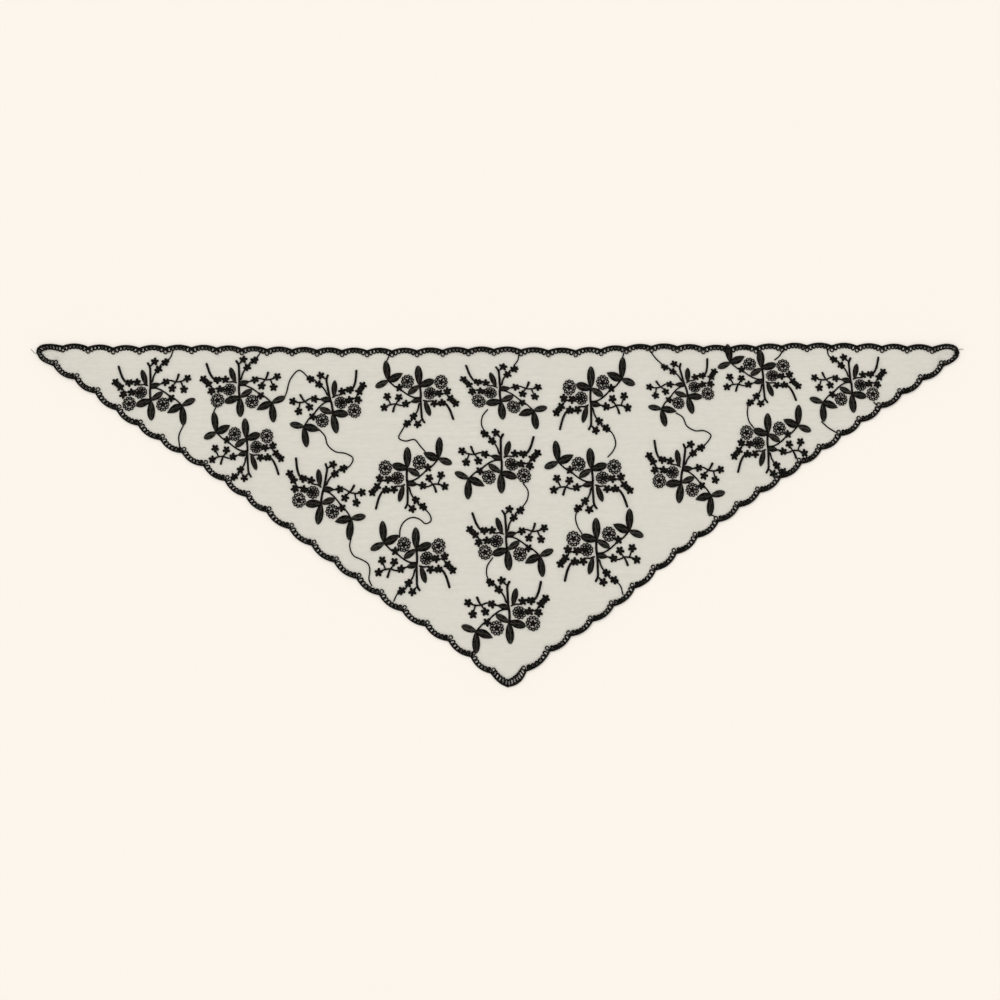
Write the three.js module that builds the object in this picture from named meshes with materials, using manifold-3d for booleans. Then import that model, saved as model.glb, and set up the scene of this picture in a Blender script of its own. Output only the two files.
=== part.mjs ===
// Triangular lace headscarf, laid flat: a sheer ground cloth, a scalloped lace border in three runs
// and twenty embroidered sprigs. Millimetres, +Z up, origin under the middle of its box.
import * as THREE from "three";
import { mergeVertices } from "three/addons/utils/BufferGeometryUtils.js";
import Module from "manifold-3d";

const wasm = await Module();
wasm.setup();

// Thickness of each layer and the air between two layers
const CLOTH_THICKNESS = 1.0;
const BORDER_THICKNESS = 1.0;
const SPRIG_THICKNESS = 1.0;
const GAP = 0.3;

// The border's band, measured inwards from the line through its outer notches
const BAND_WIDTH = 8.6;
const NOTCH_REACH = 10.7;
const EYELET_DEPTH = 7.0;
const EYELET_RADIUS = 2.2;
const EYELET_SIDES = 5;

// Each edge, clockwise: how far a scallop's middle third bulges past the straight line between its two
// notches, and the notches at which the edge bends, with the even scallops since the one before
const EDGES = {
  top: {
    crest: 3.9,
    bends: [
      { x: -650, y: 253, scallops: 0 }, { x: -575, y: 250, scallops: 2 },
      { x: -458, y: 250.5, scallops: 3 }, { x: -345, y: 248, scallops: 3 },
      { x: -121, y: 246, scallops: 6 }, { x: -6, y: 248, scallops: 3 },
      { x: 116, y: 246, scallops: 3 }, { x: 229.5, y: 252.5, scallops: 3 },
      { x: 346, y: 250, scallops: 3 }, { x: 424.5, y: 253, scallops: 2 },
      { x: 649, y: 251, scallops: 6 },
    ],
  },
  right: {
    crest: 5.1,
    bends: [
      { x: 666.5, y: 221.5, scallops: 0 }, { x: 573, y: 159, scallops: 3 },
      { x: 454, y: 76, scallops: 4 }, { x: 330, y: -11, scallops: 4 },
      { x: 236.5, y: -83.5, scallops: 3 }, { x: 173.5, y: -137, scallops: 2 },
      { x: 78, y: -205, scallops: 3 }, { x: 43, y: -234.5, scallops: 1 },
    ],
  },
  left: {
    crest: 5.0,
    bends: [
      { x: -11, y: -237.5, scallops: 0 }, { x: -41, y: -213, scallops: 1 },
      { x: -143.5, y: -144.5, scallops: 3 }, { x: -346, y: 3.5, scallops: 6 },
      { x: -440.5, y: 72.5, scallops: 3 }, { x: -505, y: 111.5, scallops: 2 },
      { x: -570.5, y: 156, scallops: 2 }, { x: -602, y: 181.5, scallops: 1 },
      { x: -664.5, y: 222, scallops: 2 },
    ],
  },
};

// Each corner: the outermost and innermost point of the band there, and the band's points between
// them and the last notch before the corner or the first notch after it (x, y)
const CORNERS = {
  leftTip: {
    outermost: [-690, 242],
    innermost: [-683, 245],
    before: { outer: [[-675, 226], [-685, 233]], inner: [[-669, 231.5], [-677, 236.5]] },
    after: { outer: [[-684, 251], [-671, 255.5]], inner: [[-669, 247]] },
  },
  rightTip: {
    outermost: [690, 242.5],
    innermost: [684, 245],
    before: { outer: [[660, 254], [674, 255.5], [685.5, 251]], inner: [[671, 248]] },
    after: { outer: [[687, 233.5], [677.5, 225.5]], inner: [[678.5, 236], [671.5, 231]] },
  },
  foot: {
    outermost: [14, -258],
    innermost: [15.5, -246.5],
    before: { outer: [[37, -246], [26, -255]], inner: [[26.5, -238.5]] },
    after: { outer: [[4, -253], [-6, -244]], inner: [[3.5, -238.5]] },
  },
};

// The sprig's own frame: origin where its three lower leaves cross, x across, y up.
// Leaves from base to tip, with their full width, widest at a share of their length, and at the tip.
const LEAF_WIDEST_AT = 0.42;
const LEAVES = [
  { from: [2.5, 17], to: [-6.5, 48], width: 8.5, tip: 3.5 },
  { from: [2, -0.5], to: [-24.5, -4], width: 11.5, tip: 3 },
  { from: [-1, -3.5], to: [19.5, 5.5], width: 11, tip: 4 },
  { from: [0.5, 1], to: [-3, -32.5], width: 11.5, tip: 4 },
  { from: [46, -19], to: [21.5, -26.5], width: 12.5, tip: 0 },
  { from: [43, -20.5], to: [66, -15.5], width: 10.5, tip: 0 },
  { from: [45, -19], to: [43.5, -51], width: 11, tip: 4 },
];

// Openwork roses: centre and radii
const ROSE_SIDES = 6;
const ROSES = [
  { at: [-32, 1.5], rx: 10.5, ry: 12 },
  { at: [-12.5, 14], rx: 10, ry: 10.5 },
  { at: [17, -12], rx: 10.5, ry: 12 },
];

// Stems with their blossoms: the points that they run through and half their width there
const STEMS = [
  [[0, -8, 1.5], [3.5, 24, 1.5], [5.8, 47, 1.5], [13, 55.5, 5.5], [20, 60, 0]],
  [[2.5, 17, 0], [17, 41.5, 3], [30, 51, 5], [36, 56, 0]],
  [[1, 19.5, 0], [9, 20.5, 4.2], [18, 20, 1.5], [26, 21, 5], [45, 17, 1.5], [58, 18.3, 5.5], [66, 19.5, 0]],
  [[4, 19, 0], [-22, 32, 5.5], [-33.5, 37.5, 1.8], [-38.2, 62.5, 1.6]],
  [[-12, 14, 3], [-39.5, 17.5, 5], [-42, 30, 5], [-51, 43, 0]],
  [[3, 20, 0], [18, 11, 1.3], [32, -6.5, 3], [46, -22, 0.5]],
];

// In a sprig's outline, a point this near a straight line and a gap this small (square mm) are left out
const NEAR_LINE = 0.4;
const SMALLEST_GAP = 12;

// The joint of the sprig's three-leaved end and the top of its main stem, in its own frame
const JOINT = [44.6, -20];
const TOP = [4, 56];

// Where each sprig lies: its origin (x, y), and its joint and top as seen from there. The twenty are
// turned, mirrored and pulled out of square a little.
const SPRIGS = [
  { x: -519.5, y: 172, joint: [46.6, -8.5], top: [-3.9, 54.4] },
  { x: -386.5, y: 176.5, joint: [47.8, -9.1], top: [-4.5, 53.1] },
  { x: -246.5, y: 153, joint: [-42.9, -21.2], top: [-7.9, 55.3] },
  { x: -116.5, y: 192, joint: [-46.8, 8.2], top: [6.7, -54.1] },
  { x: 4, y: 170.5, joint: [48.7, -15], top: [-6.7, 49.9] },
  { x: 138.5, y: 187.5, joint: [45.9, 15], top: [-2.5, -59.8] },
  { x: 284, y: 178, joint: [-38.9, -19.4], top: [-10.9, 47.8] },
  { x: 395, y: 218, joint: [-46.8, 9.3], top: [7.9, -49.8] },
  { x: 529.5, y: 182, joint: [-43.1, -14.1], top: [-2.5, 52] },
  { x: -375.5, y: 112.5, joint: [-44.9, 10.5], top: [6.3, -55.5] },
  { x: -264.5, y: 18, joint: [44.6, -23.5], top: [7, 57.6] },
  { x: -136, y: 68, joint: [46.6, 15.5], top: [-2.4, -58] },
  { x: 5.5, y: 64, joint: [-48.4, -10], top: [2.2, 56.1] },
  { x: 140.5, y: 67, joint: [-49.8, 11.7], top: [7, -57.4] },
  { x: 273.5, y: 49, joint: [44.6, -20], top: [4, 56] },
  { x: 403, y: 119.5, joint: [44.9, 13.3], top: [-1.6, -56.5] },
  { x: -121.5, y: -53, joint: [-48, 10.5], top: [4.3, -59.8] },
  { x: 13.5, y: -51, joint: [48.6, -10.5], top: [-6.9, 56.8] },
  { x: 147, y: -39, joint: [48.6, 14.7], top: [-0.7, -60.1] },
  { x: 17.5, y: -159.5, joint: [-49.3, -14.7], top: [-0.3, 59.4] },
];

const groundLook = new THREE.MeshStandardMaterial({ color: 0xdbd7cb, roughness: 0.9, metalness: 0 });
const laceLook = new THREE.MeshStandardMaterial({ color: 0x17140f, roughness: 0.7, metalness: 0 });

const point = ([x, y]) => new THREE.Vector2(x, y);
const leftOf = (along) => new THREE.Vector2(-along.y, along.x).normalize();
const shifted = (p, direction, distance) => p.clone().addScaledVector(direction, distance);

// The flat plate under an outline, with holes cut through
function plate(outline, thickness, holes = []) {
  const shape = new THREE.Shape(outline);
  shape.holes = holes.map((hole) => new THREE.Path(hole));
  return new THREE.ExtrudeGeometry(shape, { depth: thickness, bevelEnabled: false });
}

function polygon(centre, rx, ry, sides) {
  return Array.from({ length: sides }, (_, k) => {
    const angle = (2 * Math.PI * k) / sides;
    return new THREE.Vector2(centre.x + rx * Math.cos(angle), centre.y + ry * Math.sin(angle));
  });
}

// Every notch of an edge: the ones in its table, and those between them on a smooth line
function notchesOf(bends) {
  const stops = bends.map(({ x, y }) => new THREE.Vector3(x, y, 0));
  const curve = new THREE.CatmullRomCurve3(stops, false, "chordal");
  const notches = [curve.getPoint(0)];
  bends.slice(1).forEach(({ scallops }, k) => {
    for (let s = 1; s <= scallops; s++) notches.push(curve.getPoint((k + s / scallops) / (stops.length - 1)));
  });
  return notches.map(({ x, y }) => new THREE.Vector2(x, y));
}

// One edge's band between its first and last notch: outer and inner points, and an eyelet per notch
function run({ crest, bends }) {
  const notches = notchesOf(bends);
  const scallops = notches.length - 1;
  const outwards = notches.map((_, k) => {
    const before = notches[Math.max(k - 1, 0)];
    const after = notches[Math.min(k + 1, scallops)];
    return leftOf(after.clone().sub(before));
  });
  const innerNotch = (k) => shifted(notches[k], outwards[k], -NOTCH_REACH);
  const outer = [];
  const inner = [];
  for (let k = 0; k < scallops; k++) {
    const outward = leftOf(notches[k + 1].clone().sub(notches[k]));
    const across = (t, distance) => shifted(notches[k].clone().lerp(notches[k + 1], t), outward, distance);
    outer.push(notches[k], across(1 / 3, crest), across(2 / 3, crest));
    inner.push(innerNotch(k), across(1 / 2, crest - BAND_WIDTH));
  }
  outer.push(notches[scallops]);
  inner.push(innerNotch(scallops));
  const eyelets = notches.map((notch, k) => shifted(notch, outwards[k], -EYELET_DEPTH));
  return { outer, inner, eyelets };
}

const RUNS = { top: run(EDGES.top), right: run(EDGES.right), left: run(EDGES.left) };

// A corner's cut across the band, moved half a gap towards the run that it ends
function cut(corner, side) {
  const outermost = point(corner.outermost);
  const innermost = point(corner.innermost);
  const sideways = leftOf(innermost.clone().sub(outermost));
  return [outermost, innermost].map((p) => shifted(p, sideways, (side * GAP) / 2));
}

function border(name, from, to) {
  const { outer, inner, eyelets } = RUNS[name];
  const [startOuter, startInner] = cut(from, 1);
  const [endOuter, endInner] = cut(to, -1);
  const outline = [
    startOuter, ...from.after.outer.map(point), ...outer, ...to.before.outer.map(point), endOuter,
    endInner, ...to.before.inner.map(point).reverse(), ...inner.slice().reverse(),
    ...from.after.inner.map(point).reverse(), startInner,
  ];
  const holes = eyelets.map((centre) => polygon(centre, EYELET_RADIUS, EYELET_RADIUS, EYELET_SIDES));
  return plate(outline, BORDER_THICKNESS, holes);
}

// A closed clockwise outline moved inwards
function inset(outline, distance) {
  return outline.map((p, k) => {
    const before = outline.at(k - 1);
    const after = outline[(k + 1) % outline.length];
    const outBefore = leftOf(p.clone().sub(before));
    const outAfter = leftOf(after.clone().sub(p));
    const middle = outBefore.clone().add(outAfter).normalize();
    return shifted(p, middle, -distance / middle.dot(outBefore));
  });
}

function groundCloth() {
  const { leftTip, rightTip, foot } = CORNERS;
  const opening = [
    point(leftTip.innermost), ...leftTip.after.inner.map(point), ...RUNS.top.inner,
    ...rightTip.before.inner.map(point), point(rightTip.innermost),
    ...rightTip.after.inner.map(point), ...RUNS.right.inner, ...foot.before.inner.map(point),
    point(foot.innermost), ...foot.after.inner.map(point), ...RUNS.left.inner,
    ...leftTip.before.inner.map(point),
  ];
  return plate(inset(opening, GAP), CLOTH_THICKNESS);
}

// The outline of a ribbon through points that each have a half width, pointed where that is 0
function ribbon(rows) {
  const middle = rows.map(point);
  const sides = middle.map((p, k) => {
    const before = middle[Math.max(k - 1, 0)];
    const after = middle[Math.min(k + 1, middle.length - 1)];
    return leftOf(after.clone().sub(before));
  });
  const right = rows.map(([, , half], k) => shifted(middle[k], sides[k], -half));
  const left = rows.map(([, , half], k) => shifted(middle[k], sides[k], half));
  return [...right, ...left.filter((_, k) => rows[k][2] > 0).reverse()];
}

function leaf({ from, to, width, tip }) {
  const widest = point(from).lerp(point(to), LEAF_WIDEST_AT);
  return ribbon([[...from, 0], [widest.x, widest.y, width / 2], [...to, tip / 2]]);
}

function solid(geometry) {
  geometry.deleteAttribute("normal");
  geometry.deleteAttribute("uv");
  const merged = mergeVertices(geometry);
  const mesh = new wasm.Mesh({
    numProp: 3,
    vertProperties: new Float32Array(merged.attributes.position.array),
    triVerts: new Uint32Array(merged.index.array),
  });
  return new wasm.Manifold(mesh);
}

// The loops round the top of a flat solid, the outer one anticlockwise
function topLoops(flat) {
  const { vertProperties, triVerts } = flat.getMesh();
  const next = new Map();
  for (let t = 0; t < triVerts.length; t += 3) {
    const corners = [...triVerts.slice(t, t + 3)];
    if (corners.some((v) => vertProperties[3 * v + 2] < SPRIG_THICKNESS / 2)) continue;
    corners.forEach((from, k) => {
      const to = corners[(k + 1) % 3];
      if (next.get(to)?.delete(from)) return;
      if (!next.has(from)) next.set(from, new Set());
      next.get(from).add(to);
    });
  }
  const loops = [];
  for (const [start, ways] of next) {
    const loop = [];
    for (let v = start, way = ways; way.size; way = next.get(v)) {
      loop.push(new THREE.Vector2(vertProperties[3 * v], vertProperties[3 * v + 1]));
      [v] = way;
      way.delete(v);
    }
    if (loop.length) loops.push(loop);
  }
  return loops;
}

// A loop without the points that lie on the line between their neighbours, or close to it
function simplified(loop) {
  const kept = [];
  loop.forEach((p, k) => {
    const before = kept.at(-1) ?? loop.at(-1);
    const along = loop[(k + 1) % loop.length].clone().sub(before);
    if (Math.abs(along.cross(p.clone().sub(before))) > NEAR_LINE * along.length()) kept.push(p);
  });
  return kept;
}

// One sprig in its own frame: leaves, roses and stems joined to one embroidered piece
function sprig() {
  const roses = ROSES.map(({ at, rx, ry }) => polygon(point(at), rx, ry, ROSE_SIDES));
  const outlines = [...LEAVES.map(leaf), ...roses, ...STEMS.map(ribbon)];
  const pieces = outlines.map((outline) => solid(plate(outline, SPRIG_THICKNESS)));
  const loops = topLoops(pieces.reduce((whole, piece) => whole.add(piece))).map(simplified);
  const [outline] = loops.filter((loop) => THREE.ShapeUtils.area(loop) > 0);
  const holes = loops.filter((loop) => THREE.ShapeUtils.area(loop) < -SMALLEST_GAP);
  return plate(outline, SPRIG_THICKNESS, holes);
}

// The matrix that takes the x axis to the joint and the y axis to the top
function towards([jointX, jointY], [topX, topY]) {
  const joint = new THREE.Vector3(jointX, jointY, 0);
  const top = new THREE.Vector3(topX, topY, 0);
  return new THREE.Matrix4().makeBasis(joint, top, new THREE.Vector3(0, 0, 1));
}

// A sprig's place, turn, stretch and mirroring as one matrix
function lay({ x, y, joint, top }) {
  const place = towards(joint, top).multiply(towards(JOINT, TOP).invert());
  return place.setPosition(x, y, CLOTH_THICKNESS + GAP);
}

function named(name, geometry, look) {
  const mesh = new THREE.Mesh(geometry, look);
  mesh.name = name;
  return mesh;
}

const scarf = new THREE.Group();
scarf.add(named("ground_cloth", groundCloth(), groundLook));
scarf.add(named("border_top", border("top", CORNERS.leftTip, CORNERS.rightTip), laceLook));
scarf.add(named("border_right", border("right", CORNERS.rightTip, CORNERS.foot), laceLook));
scarf.add(named("border_left", border("left", CORNERS.foot, CORNERS.leftTip), laceLook));
const oneSprig = sprig();
SPRIGS.forEach((place, k) => {
  const mesh = named(`sprig_${String(k + 1).padStart(2, "0")}`, oneSprig, laceLook);
  mesh.matrixAutoUpdate = false;
  mesh.matrix.copy(lay(place));
  scarf.add(mesh);
});

const middle = new THREE.Box3().setFromObject(scarf, true).getCenter(new THREE.Vector3());
scarf.position.set(-middle.x, -middle.y, 0);

export default scarf;
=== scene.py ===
# %% [markdown]
# # A lace headscarf, laid flat
# A triangular scarf of sheer crinkled gauze. A scalloped border of black cord and small stitched
# rings runs round it, and twenty black sprigs are embroidered on it. On the real scarf a machine
# stitches the sprigs and the border through the gauze, and the gauze is cut away under the border.
# All tables are in millimetres, in the frame of the CAD model: x along the long straight edge,
# y from the foot of the triangle towards that edge, z up out of the cloth. Blender works in metres,
# so MM turns them into metres where a mesh is made or placed.

# %% Setup
import math

import bpy
import numpy as np
from mathutils import Matrix


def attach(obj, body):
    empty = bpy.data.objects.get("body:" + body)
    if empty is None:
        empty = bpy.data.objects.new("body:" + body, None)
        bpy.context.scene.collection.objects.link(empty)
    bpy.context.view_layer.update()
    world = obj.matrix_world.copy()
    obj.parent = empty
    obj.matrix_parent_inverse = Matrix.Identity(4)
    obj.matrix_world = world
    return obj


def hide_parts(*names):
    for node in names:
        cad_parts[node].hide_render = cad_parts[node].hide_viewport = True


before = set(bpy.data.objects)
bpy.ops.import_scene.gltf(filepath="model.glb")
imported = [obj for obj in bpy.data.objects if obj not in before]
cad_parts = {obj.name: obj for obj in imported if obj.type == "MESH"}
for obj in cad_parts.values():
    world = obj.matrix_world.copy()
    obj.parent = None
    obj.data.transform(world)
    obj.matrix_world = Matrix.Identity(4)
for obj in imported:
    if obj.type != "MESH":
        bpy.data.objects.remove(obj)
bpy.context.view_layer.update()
MM = 0.001
rng = np.random.default_rng(7)

# %% [markdown]
# ## Sizes
# The border is one run along each edge, clockwise. Each run hangs on a line through the notches
# between its scallops, and a scallop bulges outwards by its crest. The three runs came out of the
# machine a little differently, so each has its own cord width and its own stitched-over rings. One
# scallop repeated along a straight line would be simpler, but the real edges bend where the cloth was
# pulled. So each run goes through a few bends, and the scallops between two of them share the way.

# %% Sizes of the border
BAND_WIDTH = 8.6  # in the middle of a scallop
NOTCH_REACH = 10.7  # the band's width at a notch
CELLS = 7  # steps in a scallop, with a ring between each two of them
EDGES = {  # bends, crest, half the cord's width, how much of each ring is filled, first and last slant
    "top": {
        "bends": [  # x, y, scallops since the row before
            (-650, 253, 0), (-575, 250, 2), (-458, 250.5, 3), (-345, 248, 3), (-121, 246, 6),
            (-6, 248, 3), (116, 246, 3), (229.5, 252.5, 3), (346, 250, 3), (424.5, 253, 2), (649, 251, 6),
        ],
        "crest": 3.9, "cord": 1.7, "filled": (0.0, 0.1, 0.3, 0.5, 0.4, 0.1), "slants": (-6, -6),
    },
    "right": {
        "bends": [
            (666.5, 221.5, 0), (573, 159, 3), (454, 76, 4), (330, -11, 4), (236.5, -83.5, 3),
            (173.5, -137, 2), (78, -205, 3), (43, -234.5, 1),
        ],
        "crest": 5.1, "cord": 1.5, "filled": (0.0, 0.1, 0.3, 0.7, 0.8, 0.8), "slants": (-6, -6),
    },
    "left": {
        "bends": [
            (-11, -237.5, 0), (-41, -213, 1), (-143.5, -144.5, 3), (-346, 3.5, 6), (-440.5, 72.5, 3),
            (-505, 111.5, 2), (-570.5, 156, 2), (-602, 181.5, 1), (-664.5, 222, 2),
        ],
        "crest": 5.0, "cord": 1.2, "filled": (0.8, 0.5, 0.4, 0.1, 0.0, 0.0), "slants": (-2, -14),
    },
}
# Each corner: the line along the outer side and the one along the inner side, clockwise, with the
# place where one run ends and the next one starts in the middle.
CORNERS = {
    "left_tip": {
        "outer_before": [(-671, 224.5), (-684.5, 232.5)], "outermost": (-690, 242.5),
        "outer_after": [(-689, 248.5), (-685, 252.5), (-671, 255.5)],
        "inner_before": [(-669, 231.5), (-677, 236.5)], "innermost": (-683, 245),
        "inner_after": [(-669, 247)],
    },
    "right_tip": {
        "outer_before": [(660, 254), (674, 255.5), (686.5, 250.5)], "outermost": (690, 242.5),
        "outer_after": [(688.5, 237), (684.5, 231.5), (677.5, 226.5)],
        "inner_before": [(671, 248)], "innermost": (684, 245),
        "inner_after": [(678.5, 236), (671.5, 231)],
    },
    "foot": {
        "outer_before": [(37, -246), (26, -255)], "outermost": (14, -258),
        "outer_after": [(4, -253), (-6, -244)],
        "inner_before": [(26.5, -238.5)], "innermost": (15.5, -246.5),
        "inner_after": [(3.5, -238.5)],
    },
}
# Each run with the corners where it starts and ends.
RUNS = [("top", "left_tip", "right_tip"), ("right", "right_tip", "foot"), ("left", "foot", "left_tip")]
print({name: sum(row[2] for row in edge["bends"]) for name, edge in EDGES.items()}, "scallops")

# %% [markdown]
# ## Lines and threads
# A cord, a stem or a linking thread is a tube with a slightly flat section that follows a line and
# ends in round tips. A curve object with a round bevel could draw it as well. A mesh that is made
# here can also keep three numbers at each of its points: how far along the stitches the point lies,
# how far across them, and how strong a sheen is painted into its colour there. The thread material
# turns these into ridges, painted highlight streaks, and painted dark outlines where that sheen fades.

# %% Helpers for lines
def steps_of(line):
    """The length of each step of the line."""
    return np.linalg.norm(np.diff(line, axis=0), axis=1)


def smooth(points, steps):
    """A smooth line through the points, with this many steps from each point to the next one."""
    points = np.asarray(points, float)
    reach = steps_of(points)[:, None]
    slope = np.diff(points, axis=0) / reach
    inner = (slope[:-1] * reach[1:] + slope[1:] * reach[:-1]) / (reach[:-1] + reach[1:])
    tangent = np.vstack([slope[:1], inner, slope[-1:]])
    parts = [points[:1]]
    for i, count in enumerate(np.broadcast_to(steps, len(reach))):
        t = np.arange(1, count + 1)[:, None] / count
        blend = points[i] * (1 + 2 * t) * (1 - t) ** 2 + points[i + 1] * t**2 * (3 - 2 * t)
        parts.append(blend + reach[i] * t * (1 - t) * (tangent[i] * (1 - t) - tangent[i + 1] * t))
    return np.vstack(parts)


def spaced(line, shares):
    """Points on the line at these shares of its length."""
    along = np.concatenate([[0], np.cumsum(steps_of(line))])
    wanted = np.asarray(shares) * along[-1]
    return np.column_stack([np.interp(wanted, along, line[:, k]) for k in range(line.shape[1])])


def unit(direction):
    return direction / np.linalg.norm(direction)


def left_of(direction):
    return unit(np.array([-direction[1], direction[0]], float))


def turned(direction, degrees):
    """The direction, turned anticlockwise."""
    a = math.radians(degrees)
    x, y = direction
    return np.array([x * math.cos(a) - y * math.sin(a), x * math.sin(a) + y * math.cos(a)])


def at_height(line, z):
    """The line with all its points at the height z."""
    line = np.asarray(line, float)
    return np.column_stack([line[:, :2], np.broadcast_to(z, len(line))])


def mark(mesh, **values):
    """Keeps a number at each point of the mesh under each of these names."""
    for name, value in values.items():
        numbers = np.ascontiguousarray(np.broadcast_to(value, len(mesh.vertices)), dtype=np.float32)
        mesh.attributes.new(name, "FLOAT", "POINT").data.foreach_set("value", numbers)


print("a line through 3 points, in steps of 4:", len(smooth([(0, 0), (1, 1), (2, 0)], 4)), "points")

# %% Helpers for threads
THREAD_TWIST = 1.1  # how far the stitches move on in one turn round a thread
THREAD_FLATNESS = 0.8  # a thread's height as a share of its width
THREAD_PAINTED_SHEEN_SHARE = 0.3  # how strong the painted sheen is in the colour of its stitches
THREAD_SIDES = 6
TIP_STEPS = ((0.5, 0.86), (0.88, 0.48))  # past the end, in half widths, and the width left there


class Threads:
    """Threads gathered in one mesh, in millimetres."""

    def __init__(self):
        self.points = []
        self.faces = []
        self.stitch = []
        self.across = []
        self.count = 0

    def add(self, line, half_width, half_height=None, sides=THREAD_SIDES):
        line = np.asarray(line, float)
        half_width = np.array(np.broadcast_to(half_width, len(line)), float)
        flat = THREAD_FLATNESS if half_height is None else half_height / half_width.max()
        line, half_width = self.with_tips(line, half_width)
        ahead = np.vstack([line[1:], line[-1:]]) - np.vstack([line[:1], line[:-1]])
        side = np.column_stack([-ahead[:, 1], ahead[:, 0], np.zeros(len(line))])
        side /= np.linalg.norm(side, axis=1)[:, None]
        turn = np.arange(sides) / sides
        angle = turn * 2 * math.pi
        wide = half_width[:, None, None] * side[:, None, :] * np.cos(angle)[:, None]
        high = half_width[:, None, None] * flat * np.array([0, 0, 1.0]) * np.sin(angle)[:, None]
        along = np.concatenate([[0], np.cumsum(steps_of(line))])
        self.points.append((line[:, None, :] + wide + high).reshape(-1, 3))
        self.stitch.append((along[:, None] + THREAD_TWIST * turn).reshape(-1))
        self.across.append((half_width[:, None] * np.cos(angle)).reshape(-1))
        self.join_rings(len(line), sides)

    def with_tips(self, line, half_width):
        """The line and its half widths with a round tip added at each end."""
        start, end = unit(line[0] - line[1]), unit(line[-1] - line[-2])
        before = [line[0] + start * out * half_width[0] for out, _ in reversed(TIP_STEPS)]
        after = [line[-1] + end * out * half_width[-1] for out, _ in TIP_STEPS]
        narrow = np.array([share for _, share in TIP_STEPS])
        widths = np.concatenate([narrow[::-1] * half_width[0], half_width, narrow * half_width[-1]])
        return np.vstack([*before, line, *after]), widths

    def join_rings(self, rings, sides):
        """Faces from each ring of points to the next one, and one at each end."""
        first = self.count
        last = first + (rings - 1) * sides
        self.count += rings * sides
        for here in range(first, last, sides):
            there = here + sides
            for j in range(sides):
                k = (j + 1) % sides
                self.faces.append((here + j, here + k, there + k, there + j))
        self.faces.append(tuple(first + j for j in reversed(range(sides))))
        self.faces.append(tuple(last + j for j in range(sides)))

    def mesh(self, name):
        mesh = bpy.data.meshes.new(name)
        mesh.from_pydata((np.vstack(self.points) * MM).tolist(), [], self.faces)
        mark(mesh, stitch=np.concatenate(self.stitch), across=np.concatenate(self.across), core=THREAD_PAINTED_SHEEN_SHARE)
        mesh.shade_smooth()
        return mesh


print("threads have", THREAD_SIDES, "sides and", 2 * len(TIP_STEPS), "more rings of points at their tips")

# %% [markdown]
# ## Forms and copies
# The scarf has hundreds of rings, 160 leaves and 280 blossoms, so what repeats is modelled once, as a
# form. A form starts as a primitive and is shaped in edit mode. Copies that share one mesh would be
# lighter, but these are joined into one piece and laid down with the cloth, so each copy gets a mesh
# of its own, placed by a few simple matrices.

# %% Helpers for forms
RING_MIDDLE = 0.1  # of a ring's radius: points nearer to its middle line stay when it is drawn out


def show(mesh, name):
    """Puts the mesh in the scene as an object of that name, at the origin."""
    shown = bpy.data.objects.new(name, mesh)
    bpy.context.scene.collection.objects.link(shown)
    return shown


def only(*chosen):
    """Selects these objects alone, the last one as the active one."""
    bpy.ops.object.select_all(action="DESELECT")
    for o in chosen:
        o.select_set(True)
    bpy.context.view_layer.objects.active = chosen[-1]


def joined(parts, name):
    """Joins the objects into one of that name."""
    only(*parts[1:], parts[0])
    bpy.ops.object.join()
    whole = bpy.context.object
    whole.name = whole.data.name = name
    whole.data.shade_smooth()
    return whole


def pick(o, wanted):
    """Selects the points of the object that are wanted, and leaves it in edit mode."""
    bpy.ops.object.mode_set(mode="EDIT")
    bpy.ops.mesh.select_mode(type="VERT")
    bpy.ops.mesh.select_all(action="DESELECT")
    bpy.ops.object.mode_set(mode="OBJECT")
    for v in o.data.vertices:
        v.select = wanted(v.co)
    bpy.ops.object.mode_set(mode="EDIT")


def points_of(mesh):
    places = np.empty(len(mesh.vertices) * 3)
    mesh.vertices.foreach_get("co", places)
    return places.reshape(-1, 3)


def thread_ring(name, radius, half_wall, drawn_out, steps, sides):
    """A ring of thread. Its two halves are then moved apart along x, which makes it an oval."""
    bpy.ops.object.select_all(action="DESELECT")
    bpy.ops.mesh.primitive_torus_add(
        major_radius=radius * MM, minor_radius=half_wall * MM, major_segments=steps, minor_segments=sides
    )
    ring = bpy.context.object
    ring.name = name
    for way in (1, -1):
        pick(ring, lambda co: co.x * way > RING_MIDDLE * radius * MM)
        bpy.ops.transform.translate(value=(way * drawn_out / 2 * MM, 0, 0))
        bpy.ops.object.mode_set(mode="OBJECT")
    places = points_of(ring.data) / MM
    around = np.arctan2(places[:, 1], places[:, 0]) * radius
    mark(ring.data, stitch=around, across=np.hypot(places[:, 0], places[:, 1]), core=THREAD_PAINTED_SHEEN_SHARE)
    return ring


def ball(name, length, width, height, segments, rings):
    """A flat ball of stitches."""
    bpy.ops.object.select_all(action="DESELECT")
    bpy.ops.mesh.primitive_uv_sphere_add(segments=segments, ring_count=rings, radius=0.5 * MM)
    made = bpy.context.object
    made.name = name
    bpy.ops.transform.resize(value=(length, width, height))
    bpy.ops.object.transform_apply(location=True, rotation=True, scale=True)
    places = points_of(made.data) / MM
    mark(made.data, stitch=places[:, 0], across=places[:, 1], core=THREAD_PAINTED_SHEEN_SHARE)
    return made


def moved(x, y, z=0.0):
    return Matrix.Translation((x * MM, y * MM, z * MM))


def spun(degrees, axis="Z"):
    return Matrix.Rotation(math.radians(degrees), 4, axis)


def scaled(x, y, z=1.0):
    return Matrix.Diagonal((x, y, z, 1))


def copy_of(form, place):
    """A copy of the form with its own mesh, placed by a matrix."""
    mesh = form.data.copy()
    mesh.transform(place)
    return show(mesh, form.name + "_copy")


def angle_of(direction):
    return math.degrees(math.atan2(direction[1], direction[0]))


def triangles_in(o):
    return sum(len(p.vertices) - 2 for p in o.data.polygons)


print("a form faces along x, so a copy that faces along y is turned by", angle_of((0, 1)), "degrees")

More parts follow.
